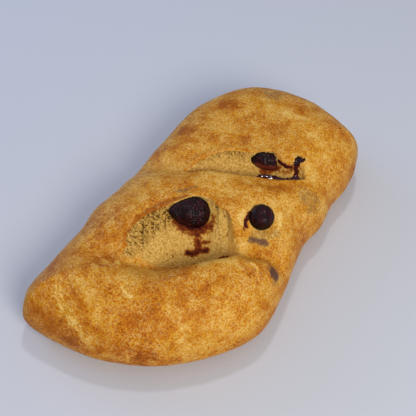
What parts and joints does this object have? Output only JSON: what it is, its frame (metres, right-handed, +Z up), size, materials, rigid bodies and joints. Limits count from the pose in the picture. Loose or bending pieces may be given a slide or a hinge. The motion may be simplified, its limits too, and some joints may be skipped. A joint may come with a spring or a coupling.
{
  "type": "fougasse",
  "caption": "Puffy oval fougasse with slanting slashes torn open to pale crumb, a golden mottled crust and dark baked fruits.",
  "frame": {"origin": "middle of the loaf's outline, on the flat underside it rests on", "axes": "+Z up, +Y along the loaf from the end with the deep front slash to the end with the narrow back slash, +X across it"},
  "size_m": [0.1393, 0.2511, 0.0553],
  "materials": {
    "crust": "mottled golden baked crust with a soft egg-shell sheen, and pale porous torn crumb in the slashes",
    "fruit": "wrinkled purple-black baked fruit skin, moist and glossy",
    "juice": "set dark red fruit juice, wet and glossy"
  },
  "bodies": {
    "root": {"loaf": "crust", "fruit_front": "fruit", "fruit_right": "fruit", "fruit_back": "fruit", "fruit_back_small": "fruit"}
  },
  "joints": []
}
